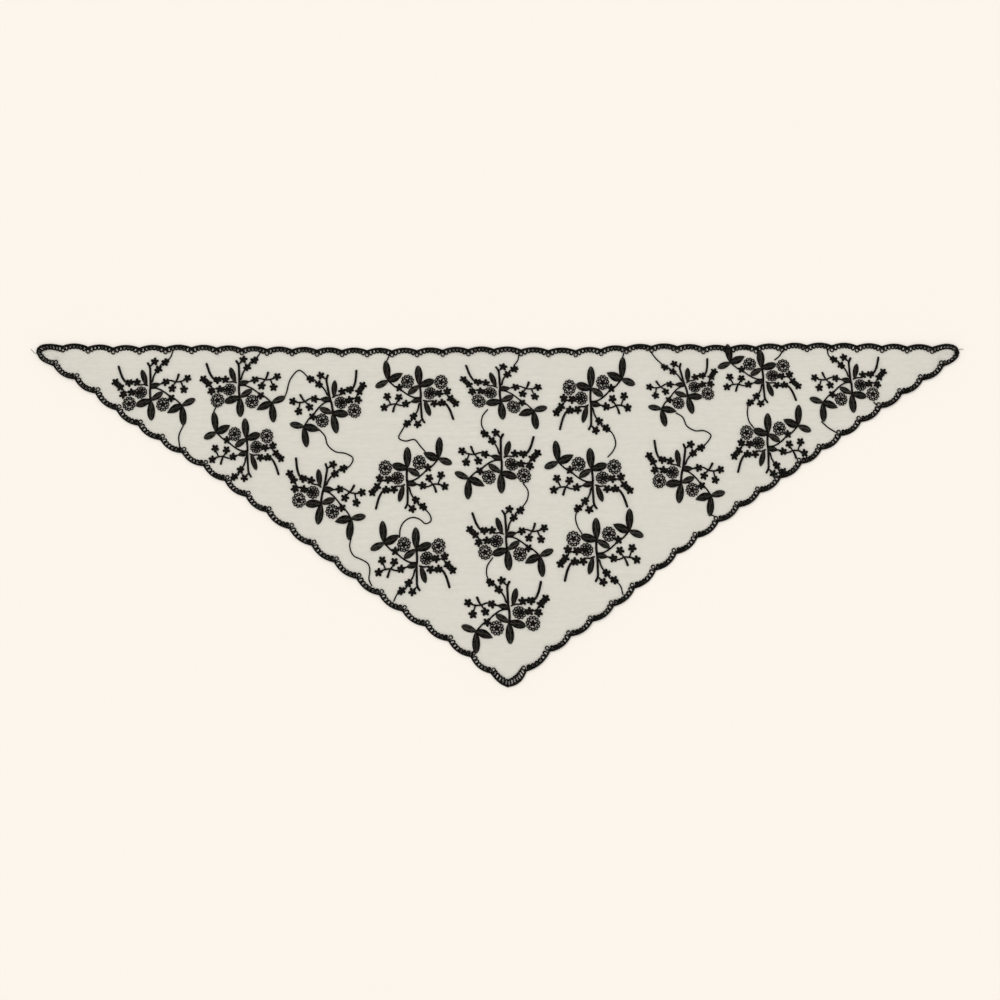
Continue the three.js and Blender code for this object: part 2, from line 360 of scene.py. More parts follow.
# %% [markdown]
# ## The lie of the cloth
# Soft cloth never lies quite flat. A cloth simulation could find how it lies, but it would have to
# carry all the embroidery, and a scarf that is smoothed out on a table rises by a millimetre or so. So
# one low wave lifts the gauze, and the border and sprigs go with it.

# %% How the cloth lies
WAVE_HEIGHT = 1.3
WAVES = [  # wave length, direction in degrees, phase, share
    (310, 20, 0.4, 0.5),
    (190, 105, 2.1, 0.3),
    (120, 60, 4.0, 0.2),
]


def wave(x, y):
    """How far the wave lifts the cloth at x, y. It is never below 0."""
    lift = np.zeros(np.shape(x))
    for size, direction, phase, share in WAVES:
        a = math.radians(direction)
        turns = (x * math.cos(a) + y * math.sin(a)) / size
        lift = lift + share * (0.5 + 0.5 * np.sin(turns * 2 * math.pi + phase))
    return WAVE_HEIGHT * lift


def lay_down(mesh):
    """Lifts the points of a mesh by the wave under them."""
    places = points_of(mesh)
    places[:, 2] += wave(places[:, 0] / MM, places[:, 1] / MM) * MM
    mesh.vertices.foreach_set("co", places.reshape(-1))
    mesh.update()


print("the wave lifts the middle of the scarf by", round(float(wave(0, 0)), 2), "mm")

# %% [markdown]
# ## Materials
# The gauze is a crinkled open weave, so it lets part of the light and the ground through. Its
# crinkles show as faint lines along the scarf, and its tone drifts a little between rosy and sage. To
# model every gap of the weave would take millions of faces, so alpha thins the whole sheet. Noise
# raises the lines as bumps and also paints their light and shade into the colour. The embroidery is
# one rayon thread, near black and slightly warm. Inside a leaf the slanted stitches catch some light
# in thin streaks, and towards the outline they turn down and go dark. This sheen is painted into the
# thread's colour as painted highlight streaks that fade out towards the outline, a painted shade there,
# and a painted glint lies on every stitch ridge. A pattern in plain coordinates would run straight
# through leaves and stems. So ridges and painted streaks read the numbers that each stitched piece
# keeps, and follow its stitches.

# %% Nodes
class Graph:
    """A material's nodes, with a short way to add and join them."""

    def __init__(self, name):
        self.material = bpy.data.materials.new(name)
        self.material.use_nodes = True
        self.nodes = self.material.node_tree.nodes
        self.links = self.material.node_tree.links
        self.shader = self.nodes["Principled BSDF"]

    def node(self, kind, **settings):
        made = self.nodes.new(kind)
        for key, value in settings.items():
            setattr(made, key, value)
        return made

    def give(self, value, target):
        """Sets a socket to a value, or joins another node's socket to it."""
        if isinstance(value, bpy.types.NodeSocket):
            self.links.new(value, target)
        else:
            target.default_value = value

    def attribute(self, name):
        return self.node("ShaderNodeAttribute", attribute_name=name).outputs["Fac"]

    def noise(self, places, scale, detail):
        made = self.node("ShaderNodeTexNoise")
        for key, value in (("Vector", places), ("Scale", scale), ("Detail", detail)):
            self.give(value, made.inputs[key])
        return made.outputs["Fac"]

    def stretched(self, places, scale):
        made = self.node("ShaderNodeMapping")
        self.give(places, made.inputs["Vector"])
        self.give(scale, made.inputs["Scale"])
        return made.outputs["Vector"]

    def combined(self, x, y):
        made = self.node("ShaderNodeCombineXYZ")
        self.give(x, made.inputs["X"])
        self.give(y, made.inputs["Y"])
        return made.outputs["Vector"]

    def maths(self, operation, first, second=0.0):
        made = self.node("ShaderNodeMath", operation=operation)
        self.give(first, made.inputs[0])
        self.give(second, made.inputs[1])
        return made.outputs[0]

    def mixed(self, share, first, second):
        made = self.node("ShaderNodeMix", data_type="RGBA")
        self.give(share, made.inputs[0])
        self.give(first, made.inputs[6])
        self.give(second, made.inputs[7])
        return made.outputs[2]

    def bump(self, height, distance, strength):
        made = self.node("ShaderNodeBump")
        for key, value in (("Height", height), ("Distance", distance), ("Strength", strength)):
            self.give(value, made.inputs[key])
        return made.outputs["Normal"]


# %% The gauze's finish, with painted crinkle shade
GAUZE_PAINTED_CREPE_LIGHT = (0.885, 0.865, 0.79, 1)
GAUZE_ROSY = (0.81, 0.765, 0.72, 1)
GAUZE_SAGE = (0.765, 0.77, 0.685, 1)
GAUZE_COVER = 0.45  # how much of what lies under it the gauze hides
GAUZE_COVER_SPREAD = 0.10
GAUZE_CREPE = (9, 260, 9)  # noise scale: long crinkle lines along x, 4 mm apart, as bumps and as painted light and shade
GAUZE_CRINKLE = (60, 160, 60)
GAUZE_WEAVE = 1400.0
GAUZE_WEAVE_DEPTH = 0.4
GAUZE_DRIFT = 14.0
GAUZE_BUMP = (0.0006, 0.45)  # distance, strength
GAUZE_ROUGHNESS = 0.92
GAUZE_SHINE = 0.15


def gauze_material():
    g = Graph("crinkled_gauze")
    places = g.node("ShaderNodeTexCoord").outputs["Object"]
    crepe = g.noise(g.stretched(places, GAUZE_CREPE), scale=1.0, detail=3.0)
    crinkle = g.noise(g.stretched(places, GAUZE_CRINKLE), scale=1.0, detail=2.0)
    weave = g.noise(places, GAUZE_WEAVE, detail=1.0)
    drift = g.noise(places, GAUZE_DRIFT, detail=2.0)
    yarn = g.mixed(drift, GAUZE_ROSY, GAUZE_SAGE)
    # Painted light and shade of the crinkle lines: the crepe noise mixes the yarn's tone towards a paler one
    g.give(g.mixed(crepe, yarn, GAUZE_PAINTED_CREPE_LIGHT), g.shader.inputs["Base Color"])
    g.give(GAUZE_ROUGHNESS, g.shader.inputs["Roughness"])
    g.give(GAUZE_SHINE, g.shader.inputs["Specular IOR Level"])
    least_cover = GAUZE_COVER - GAUZE_COVER_SPREAD / 2
    cover = g.maths("ADD", g.maths("MULTIPLY", crinkle, GAUZE_COVER_SPREAD), least_cover)
    g.give(cover, g.shader.inputs["Alpha"])
    height = g.maths("ADD", g.maths("ADD", crepe, crinkle), g.maths("MULTIPLY", weave, GAUZE_WEAVE_DEPTH))
    g.give(g.bump(height, *GAUZE_BUMP), g.shader.inputs["Normal"])
    return g.material


gauze_look = gauze_material()
print("material", gauze_look.name)

# %% The thread's finish, with painted highlights
THREAD_DARK = (0.0012, 0.0011, 0.0009, 1)
# the colour of the painted sheen and glints; THREAD_DARK is the thread's own colour
THREAD_PAINTED_HIGHLIGHT = (0.050, 0.047, 0.038, 1)
THREAD_FUZZ = 1500.0
THREAD_BUMP = (0.00025, 0.5)  # distance, strength
THREAD_ROUGHNESS = 0.5
THREAD_SHINE = 0.02
STITCH_PITCH = 0.55
STITCH_DEPTH = 0.5
# painted highlight that every stitch ridge gets in its colour
STITCH_GLINT = 0.04
# the streaks of painted sheen along the stitches
STREAK_ALONG = 0.12  # noise scale along the stitches
STREAK_ACROSS = 0.45
STREAK_FROM = 0.42  # noise below this stays dark
STREAK_CONTRAST = 3.5


def thread_material():
    g = Graph("satin_thread")
    places = g.node("ShaderNodeTexCoord").outputs["Object"]
    stitch, across, core = (g.attribute(name) for name in ("stitch", "across", "core"))
    ridge = g.maths("SINE", g.maths("MULTIPLY", stitch, 2 * math.pi / STITCH_PITCH))
    fuzz = g.noise(places, THREAD_FUZZ, detail=2.0)
    lie = g.combined(g.maths("MULTIPLY", stitch, STREAK_ALONG), g.maths("MULTIPLY", across, STREAK_ACROSS))
    # Painted highlight: streaks of sheen along the stitches, painted into the colour
    lighter = g.maths("SUBTRACT", g.noise(lie, scale=1.0, detail=3.0), STREAK_FROM)
    sheen = g.maths("MULTIPLY", core, g.maths("MULTIPLY", lighter, STREAK_CONTRAST))
    # Painted highlight: a glint on every stitch ridge, painted into the colour
    glint = g.maths("MULTIPLY", g.maths("ADD", ridge, 1.0), STITCH_GLINT)
    share = g.maths("ADD", sheen, glint)
    g.give(g.mixed(share, THREAD_DARK, THREAD_PAINTED_HIGHLIGHT), g.shader.inputs["Base Color"])
    g.give(THREAD_ROUGHNESS, g.shader.inputs["Roughness"])
    g.give(THREAD_SHINE, g.shader.inputs["Specular IOR Level"])
    height = g.maths("ADD", g.maths("MULTIPLY", ridge, STITCH_DEPTH), fuzz)
    g.give(g.bump(height, *THREAD_BUMP), g.shader.inputs["Normal"])
    return g.material


thread_look = thread_material()
print("material", thread_look.name)

# %% [markdown]
# ## The border's forms
# On the real border a satin-stitched cord follows each scallop and crosses the next one at the
# notch. A row of slanted oval rings hangs from it, six to a scallop, and a larger round eyelet hangs
# at each notch. Some rings are partly stitched over, which a small pad of stitches stands for. An
# array along a curve could lay the rings, but each leans and is filled a little differently, so each
# is a copy that is placed by itself.

# %% The border's forms
RING = {"half_wall": 1.05, "half_width": 3.2, "length": 8.3, "steps": 12}
EYELET = {"half_wall": 0.95, "half_width": 3.5, "length": 7.4, "steps": 16}
RING_SIDES = 6
PAD_SIZE = (4.8, 2.6, 1.2)
PAD_STEPS = (8, 5)


def oval_ring(name, size):
    radius = size["half_width"] - size["half_wall"]
    drawn_out = size["length"] - 2 * size["half_width"]
    return thread_ring(name, radius, size["half_wall"], drawn_out, size["steps"], RING_SIDES)


ring = oval_ring("ring", RING)
eyelet = oval_ring("eyelet", EYELET)
pad = ball("pad", *PAD_SIZE, *PAD_STEPS)
print("ring", len(ring.data.polygons), "faces, eyelet", len(eyelet.data.polygons), "faces")

# %% [markdown]
# Each run keeps its notches, the outward side of each scallop, and the lines round its two corners.
# The rings stand on the middle line of the band at even steps, square to the scallop's curve, so
# their outer ends spread and their inner ends close up, as on a crocheted shell edge.

# %% Laying out the runs
NOTCH_FLARE = 4  # the power of the cosine that widens the band at its notches
CORNER_STEPS = 8


def band_at(t):
    """The band's width at a share t of a scallop: it is widest at the notches."""
    return BAND_WIDTH + (NOTCH_REACH - BAND_WIDTH) * np.cos(math.pi * t) ** NOTCH_FLARE


def run_of(name, first_corner, last_corner):
    """One run of the border: its notches, and the corner lines at its two ends."""
    bends = np.array(EDGES[name]["bends"])
    notches = smooth(bends[:, :2], bends[1:, 2].astype(int))
    sides = [left_of(b - a) for a, b in zip(notches[:-1], notches[1:])]
    normals = [sides[0], *(unit(a + b) for a, b in zip(sides[:-1], sides[1:])), sides[-1]]
    inner = [n - NOTCH_REACH * s for n, s in zip(notches, normals)]
    first, last = CORNERS[first_corner], CORNERS[last_corner]
    return {
        "notches": notches,
        "sides": sides,
        "normals": normals,
        "crest": EDGES[name]["crest"],
        "start": (
            smooth([first["outermost"], *first["outer_after"], notches[0]], CORNER_STEPS),
            smooth([first["innermost"], *first["inner_after"], inner[0]], CORNER_STEPS),
        ),
        "end": (
            smooth([notches[-1], *last["outer_before"], last["outermost"]], CORNER_STEPS),
            smooth([inner[-1], *last["inner_before"], last["innermost"]], CORNER_STEPS),
        ),
    }


def scallop_points(run, i, t):
    """Points at shares t of scallop i, on its outer side and on its inner side."""
    a, b, side = run["notches"][i], run["notches"][i + 1], run["sides"][i]
    t = np.asarray(t, float)
    base = a + (b - a) * t[:, None]
    bulge = run["crest"] * 4 * t * (1 - t)
    return base + side * bulge[:, None], base + side * (bulge - band_at(t))[:, None]


def scallop_normal(run, i, t):
    """The direction square to the scallop's curve at a share t."""
    chord = run["notches"][i + 1] - run["notches"][i]
    slope = run["crest"] * 4 * (1 - 2 * t) / np.linalg.norm(chord)
    return unit(run["sides"][i] - unit(chord) * slope)


runs = {name: run_of(name, first, last) for name, first, last in RUNS}
print({name: len(run["notches"]) for name, run in runs.items()}, "notches")

# %% One ring
LACE_HEIGHT = 1.3
RING_TUCK = 0.3  # how far inside the band's outer line a ring ends
RING_TILT = 8.0
RING_OVERLAP = 1.14  # a ring's width as a share of the step from ring to ring
FILLED_SCATTER = 0.12
FILLED_LEAST = 0.08  # a ring that is filled less than this gets no pad


def hang_ring(outer, inner, axis, pitch, filled):
    """A slanted ring of thread in the middle between an outer and an inner point, and its pad."""
    reach = np.linalg.norm(outer - inner)
    centre = (outer + inner) / 2 - axis * RING_TUCK / 2
    place = moved(*centre, LACE_HEIGHT) @ spun(angle_of(axis))
    longer = (reach - RING_TUCK) / RING["length"]
    wider = pitch * RING_OVERLAP / (2 * RING["half_width"])
    size = scaled(longer, wider, THREAD_FLATNESS)
    made = [copy_of(ring, place @ spun(RING_TILT, "X") @ size)]
    share = filled + rng.normal(0, FILLED_SCATTER) * (filled > 0)
    if share > FILLED_LEAST:
        made.append(copy_of(pad, place @ scaled(longer, wider * min(share, 1))))
    return made


print("rings stand", LACE_HEIGHT, "mm high and roll sideways by", RING_TILT, "degrees")

# %% Parts of a run
RING_SCATTER = 3.0  # degrees
EYELET_DEPTH = 7.0  # from a notch to the middle of its eyelet
EYELET_LIFT = 0.4
CORD_HALF_HEIGHT = 1.1
CORD_OVERRUN = 0.05  # past each notch, as a share of a scallop
CORD_STEPS = 14
CORD_SIDES = 8
NOTCH_BAR = (1.5, 2.8)  # how far from a notch the bar to its eyelet starts and ends
NOTCH_BAR_HALF_WIDTH = 1.5
CORNER_PITCH = 5.6
CORNER_FILLED = 0.2


def cord_line(line, half_width):
    """The line of a cord whose outer side follows the line given."""
    ahead = np.gradient(line, axis=0)
    right = np.column_stack([ahead[:, 1], -ahead[:, 0]])
    return at_height(line + right / np.linalg.norm(right, axis=1)[:, None] * half_width, LACE_HEIGHT)


def scallop_parts(edge, run, cords):
    """Adds each scallop's cord to the cords, and makes its rings."""
    parts = []
    for i, (a, b) in enumerate(zip(run["notches"][:-1], run["notches"][1:])):
        outer, _ = scallop_points(run, i, np.linspace(-CORD_OVERRUN, 1 + CORD_OVERRUN, CORD_STEPS))
        cords.add(cord_line(outer, edge["cord"]), edge["cord"], CORD_HALF_HEIGHT, CORD_SIDES)
        pitch = np.linalg.norm(b - a) / CELLS
        shares = np.arange(1, CELLS) / CELLS
        slants = np.linspace(*edge["slants"], CELLS - 1) + rng.normal(0, RING_SCATTER, CELLS - 1)
        outer, inner = scallop_points(run, i, shares)
        for t, slant, p, q, filled in zip(shares, slants, outer, inner, edge["filled"]):
            parts += hang_ring(p, q, turned(scallop_normal(run, i, t), slant), pitch, filled)
    return parts


def notch_parts(run, cords):
    """Adds the short bar at each notch to the cords, and makes the eyelets that hang from them."""
    parts = []
    for notch, normal in zip(run["notches"], run["normals"]):
        centre = notch - EYELET_DEPTH * normal
        parts.append(copy_of(eyelet, moved(*centre, LACE_HEIGHT + EYELET_LIFT) @ spun(angle_of(normal))))
        bar = at_height([notch - normal * d for d in NOTCH_BAR], LACE_HEIGHT)
        cords.add(bar, NOTCH_BAR_HALF_WIDTH, CORD_HALF_HEIGHT)
    return parts


def corner_parts(edge, run, cords):
    """Adds the cord round a run's two corners to the cords, and makes the rings there.

    The first ring stands half a pitch from the tip, and the last one a pitch from the eyelet.
    """
    parts = []
    for end, from_tip in (("start", 1), ("end", -1)):
        outer, inner = run[end]
        cells = steps_of(outer).sum() / CORNER_PITCH
        shares = np.linspace(0.5, cells - 1, round(cells - 0.5)) / cells
        for p, q in zip(spaced(outer[::from_tip], shares), spaced(inner[::from_tip], shares)):
            parts += hang_ring(p, q, unit(p - q), CORNER_PITCH, CORNER_FILLED)
        cords.add(cord_line(outer, edge["cord"]), edge["cord"], CORD_HALF_HEIGHT, CORD_SIDES)
    return parts


print("a corner's rings stand about", CORNER_PITCH, "mm apart")

# %% The border
def border_piece(name, run):
    cords = Threads()
    parts = scallop_parts(EDGES[name], run, cords)
    parts += notch_parts(run, cords)
    parts += corner_parts(EDGES[name], run, cords)
    piece = joined([show(cords.mesh("cords"), "cords"), *parts], "lace_border_" + name)
    piece.data.materials.append(thread_look)
    lay_down(piece.data)
    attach(piece, "root")
    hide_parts("border_" + name)
    return piece


borders = [border_piece(name, run) for name, run in runs.items()]
only(ring, eyelet, pad)
bpy.ops.object.delete()
for piece in borders:
    print(piece.name, triangles_in(piece), "triangles")

# %% [markdown]
# ## The gauze
# The gauze is one triangular sheet that ends under the inner ends of the rings, because it is cut
# away behind the border. A flat face cut to that outline would be enough for stiff cloth, but this
# cloth waves and crinkles. So it is laid out in columns from the long edge down to the two slanting
# ones: its edge follows the scallops, and it has points enough to crinkle.

# %% The gauze's outline
GAUZE_UNDERLAP = 1.1  # how far it reaches under the border
GAUZE_COLUMNS = 340
GAUZE_LEAST_DEPTH = 0.2  # of a column, where the tips run out
EDGE_SHARES = np.linspace(0.02, 0.98, 13)  # where its edge is read along each scallop


def inner_line(run):
    """The whole inner side of a run, from corner to corner."""
    parts = [run["start"][1]]
    for i in range(len(run["notches"]) - 1):
        parts.append(scallop_points(run, i, EDGE_SHARES)[1])
    parts.append(run["end"][1])
    return np.vstack(parts)


def height_at(line, x):
    """The line's y at these x."""
    order = np.argsort(line[:, 0])
    return np.interp(x, line[order, 0], line[order, 1])


upper = inner_line(runs["top"])
lower = np.vstack([inner_line(runs["right"]), inner_line(runs["left"])])
left_end = CORNERS["left_tip"]["innermost"][0]
right_end = CORNERS["right_tip"]["innermost"][0]
x = np.linspace(left_end, right_end, GAUZE_COLUMNS + 1)
top = height_at(upper, x) + GAUZE_UNDERLAP
low = np.minimum(height_at(lower, x) - GAUZE_UNDERLAP, top - GAUZE_LEAST_DEPTH)
print("the gauze is", round(right_end - left_end), "mm long and at most", round((top - low).max()), "mm deep")

# %% The gauze's sheet
GAUZE_ROWS = 72
GAUZE_LIE = 0.45
GAUZE_THICKNESS = 0.35
CRINKLE_HEIGHT = 0.12
CRINKLE_LIMIT = 2 * CRINKLE_HEIGHT

step = GAUZE_ROWS + 1
share = np.linspace(0, 1, step)
grid_x = np.repeat(x[:, None], step, axis=1)
grid_y = low[:, None] + (top - low)[:, None] * share
crinkle = rng.normal(0, CRINKLE_HEIGHT, grid_x.shape).clip(-CRINKLE_LIMIT, CRINKLE_LIMIT)
grid_z = GAUZE_LIE + wave(grid_x, grid_y) + crinkle
corners = np.stack([grid_x, grid_y, grid_z], axis=2).reshape(-1, 3) * MM
faces = []
for i in range(GAUZE_COLUMNS):
    for j in range(GAUZE_ROWS):
        a = i * step + j
        faces.append((a, a + step, a + step + 1, a + 1))
gauze_mesh = bpy.data.meshes.new("gauze")
gauze_mesh.from_pydata(corners.tolist(), [], faces)
gauze_mesh.materials.append(gauze_look)
gauze_mesh.shade_smooth()
gauze = show(gauze_mesh, "gauze_sheet")
only(gauze)
bpy.ops.object.modifier_add(type="SOLIDIFY")
gauze.modifiers[-1].thickness = GAUZE_THICKNESS * MM
gauze.modifiers[-1].offset = 0
bpy.ops.object.modifier_apply(modifier=gauze.modifiers[-1].name)
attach(gauze, "root")
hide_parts("ground_cloth")
print(gauze.name, len(gauze.data.polygons), "faces")

# %% [markdown]
# ## One sprig
# Every sprig on the scarf is the same pattern, so it is modelled once. It has eight satin-stitched
# leaves, three roses of small thread loops, fourteen blossoms of five petals, and cord stems. A
# picture of it on the cloth would be quick, but the stitches stand up and catch light, so they are
# modelled. The place where the lower leaves meet is the pattern's origin.

# %% Sizes of the sprig
SPRIG_HEIGHT = 1.5
LEAF_HEIGHT = 1.7
LEAVES = [  # form, base, tip, width, how strong the painted sheen of its stitches is
    ("round", (-2.5, 22.5), (-6.3, 48.3), 8.8, 1.0),
    ("pointed", (1, 19.5), (18.8, 20.2), 9.0, 1.0),
    ("round", (1.5, -0.5), (-22.8, -3.6), 12.4, 1.0),
    ("round", (0.5, -1.5), (19.8, 6.8), 10.0, 1.8),
    ("round", (0.5, -1), (-3.1, -32), 12.0, 1.3),
    ("pointed", (45.5, -19), (21.5, -26.3), 12.5, 1.0),
    ("round", (44.5, -20.4), (66.2, -15.4), 10.6, 2.0),
    ("round", (45.2, -20), (43.3, -51.5), 11.2, 1.0),
]
ROSES = [  # centre, half width, half height
    ((-32.3, 1.5), 10.3, 11.4),
    ((-12.7, 14.2), 9.7, 9.2),
    ((17.1, -11.8), 10.1, 10.9),
]
STARS = [  # centres of the blossoms
    (14.5, 56), (18.5, 43), (30, 51), (26, 21), (34.5, 9), (59, 18.5), (51.5, 3), (31, -5.5),
    (-16, 31), (-27.5, 33), (-26.5, 18), (-39, 17.5), (-41.5, 30), (-47.5, 39),
]
STEMS = [  # half width at the start, at the end, points
    (1.75, 1.7, [(0, -1), (1.5, 14.5), (3, 20.5), (4, 27.5), (5.5, 39.5), (6.2, 50.5), (4, 56)]),
    (1.3, 1.1, [(6.2, 50.5), (9, 51.5), (14.5, 56)]),
    (1.4, 1.2, [(4, 25), (6.5, 26.5), (9, 32.5), (14, 39.5), (18.5, 43), (24, 49.5), (30, 51), (35, 54.5)]),
    (1.2, 1.3, [(18, 20), (26, 21), (32, 22), (37, 20), (41, 17.5), (48, 16.5), (54, 17), (59, 18.5)]),
    (1.25, 1.9, [(41, 17.5), (44, 21.5), (47, 27.5)]),
    (1.2, 1.2, [(41, 17.5), (38, 14.5), (34.5, 9)]),
    (1.2, 1.2, [(48.5, 16.5), (50, 10.5), (51.5, 3)]),
    (1.25, 1.2, [(3, 17), (10, 15.5), (16, 12), (22, 6.5), (27.5, 0), (31, -5.5), (36, -8), (40.5, -13.5),
                 (45, -20)]),
    (1.2, 1.2, [(-1, 22.5), (-7, 25.5), (-13, 26.5), (-16, 31), (-21.5, 34), (-27.5, 33)]),
    (1.7, 1.8, [(-27.5, 33), (-32, 35.5), (-36.5, 44.5), (-38.5, 54.5), (-39.5, 61.5)]),
    (1.2, 1.2, [(-12.5, 14), (-26.5, 18), (-33, 20), (-39, 17.5), (-37.5, 23.5), (-41.5, 30), (-45, 34.5),
                (-47.5, 39)]),
]
print(len(LEAVES), "leaves,", len(ROSES), "roses,", len(STARS), "blossoms,", len(STEMS), "stems")

# %% [markdown]
# A leaf is a pad of satin stitches, high in the middle and low at its outline. It could be an outline
# that is filled and inflated. A ball with its poles at the leaf's two ends gives the same swell with
# few faces: each of its rings is drawn in to the leaf's width there, and the copies take each leaf's
# length and width. One form has a round tip, the other a pointed one.

# %% Leaves
LEAF_SEGMENTS = 12
LEAF_RINGS = 14
LEAF_FORMS = {"round": (0.56, 0.52), "pointed": (0.44, 0.85)}  # widest at, fullness (less is rounder)
LEAF_FLATTEST = 0.8
LEAF_NEAR = 0.005  # points this near to a ring's place belong to it


def leaf_width(share, widest_at, fullness):
    """The leaf's width at a share of its length, as a share of its greatest width."""
    return math.sin(math.pi * share ** (math.log(0.5) / math.log(widest_at))) ** fullness


def leaf_form(name, widest_at, fullness):
    bpy.ops.object.select_all(action="DESELECT")
    bpy.ops.mesh.primitive_uv_sphere_add(
        segments=LEAF_SEGMENTS, ring_count=LEAF_RINGS, radius=0.5, rotation=(0, math.pi / 2, 0)
    )
    leaf = bpy.context.object
    leaf.name = name
    bpy.ops.object.transform_apply(location=True, rotation=True, scale=True)
    for k in range(1, LEAF_RINGS):
        place = -0.5 * math.cos(math.pi * k / LEAF_RINGS)
        wanted = leaf_width(place + 0.5, widest_at, fullness) / (2 * math.sqrt(0.25 - place**2))
        pick(leaf, lambda co: abs(co.x - place) < LEAF_NEAR)
        bpy.ops.transform.resize(value=(1, wanted, max(wanted, LEAF_FLATTEST)), center_override=(0, 0, 0))
        bpy.ops.object.mode_set(mode="OBJECT")
    return leaf


leaf_forms = {name: leaf_form(name, *row) for name, row in LEAF_FORMS.items()}
print("leaf", len(leaf_forms["round"].data.polygons), "faces")

# %% [markdown]
# A blossom is a small round body of stitches with five round petals. A rose has a ring of loops
# outside and the same five-petalled body, a little smaller, as a knot in the middle. Real petals are
# a few loops of thread each. At this size they read as small round dots, so flat balls stand for
# them, and only the open loops of the roses are rings.

# %% Blossoms and roses
PETAL_SIZE = (4.5, 4.4, 1.6)
PETAL_STEPS = (8, 6)
PETALS = 5
PETAL_OUT = 4.3
BODY_SIZE = (8.2, 8.2, 1.7)
BODY_STEPS = (10, 6)
ROSE_LOOP = {"radius": 1.75, "half_wall": 0.9, "drawn_out": 0.3, "steps": 10, "sides": 5}
ROSE_LOOPS = 11
ROSE_LOOPS_AT = 0.75
ROSE_LOOP_SHIFT = 0.3  # of a loop, from rose to rose
ROSE_KNOT_SCALE = 0.8
ROSE_KNOT_TURN = 20
ROSE_KNOT_TURN_ON = 31  # from rose to rose

petal = ball("petal", *PETAL_SIZE, *PETAL_STEPS)
body = ball("body", *BODY_SIZE, *BODY_STEPS)
rose_loop = thread_ring("rose_loop", **ROSE_LOOP)


def blossom(centre, scale, turn):
    here = moved(*centre, SPRIG_HEIGHT) @ scaled(scale, scale)
    parts = [copy_of(body, here)]
    for k in range(PETALS):
        parts.append(copy_of(petal, here @ spun(turn + 360 / PETALS * k) @ moved(PETAL_OUT, 0)))
    return parts


def rose(number, centre, half_x, half_y):
    centre = np.array(centre, float)
    parts = []
    for k in range(ROSE_LOOPS):
        a = 360 * (k + ROSE_LOOP_SHIFT * number) / ROSE_LOOPS
        place = centre + turned((1, 0), a) * (half_x, half_y) * ROSE_LOOPS_AT
        parts.append(copy_of(rose_loop, moved(*place, SPRIG_HEIGHT) @ spun(a)))
    return parts + blossom(centre, ROSE_KNOT_SCALE, ROSE_KNOT_TURN + ROSE_KNOT_TURN_ON * number)


print("petal", len(petal.data.polygons), "faces, loop", len(rose_loop.data.polygons), "faces")

# %% The sprig
STITCH_SLANT = 0.7  # how far back a leaf's stitches slant from its middle line
LEAF_END = 0.001  # of its length, where its width is read at its ends
STEM_STEPS = 3
STAR_TURN_ON = 37  # from blossom to blossom


def leaf_copy(form, base, tip, width, light):
    base, tip = np.array(base, float), np.array(tip, float)
    reach = tip - base
    length = np.linalg.norm(reach)
    flat = points_of(leaf_forms[form].data)
    place = moved(*(base + tip) / 2, SPRIG_HEIGHT) @ spun(angle_of(reach))
    made = copy_of(leaf_forms[form], place @ scaled(length * MM, width * MM, LEAF_HEIGHT * MM))
    shares = np.clip(flat[:, 0] + 0.5, LEAF_END, 1 - LEAF_END)
    half = np.array([leaf_width(share, *LEAF_FORMS[form]) / 2 for share in shares])
    # The painted sheen fades out towards the leaf's outline, a painted shade where its stitches turn down
    inside = 1 - np.clip(np.abs(flat[:, 1]) / half, 0, 1) ** 2
    mark(
        made.data,
        stitch=flat[:, 0] * length - STITCH_SLANT * np.abs(flat[:, 1]) * width,
        across=flat[:, 1] * width,
        core=inside * light,
    )
    return made


sprig_threads = Threads()
parts = [leaf_copy(*row) for row in LEAVES]
for start, end, line in STEMS:
    path = smooth(line, STEM_STEPS)
    sprig_threads.add(at_height(path, SPRIG_HEIGHT), np.linspace(start, end, len(path)))
for number, row in enumerate(ROSES):
    parts += rose(number, *row)
for number, centre in enumerate(STARS):
    parts += blossom(centre, 1.0, STAR_TURN_ON * number)
sprig = joined([show(sprig_threads.mesh("stems"), "stems"), *parts], "sprig")
sprig.data.materials.append(thread_look)
only(*leaf_forms.values(), petal, body, rose_loop)
bpy.ops.object.delete()
print("sprig", triangles_in(sprig), "triangles")

# %% [markdown]
# ## Twenty sprigs
# The machine stitched the pattern twenty times, turned and sometimes mirrored, and the soft cloth
# then pulled it out of square a little. A turn and a scale alone couldn't follow that. So each copy
# goes where three of its points lie on the scarf: its origin, the joint of its three-leaved end and
# the top of its main stem. A mirrored copy is inside out, so its faces are turned round.

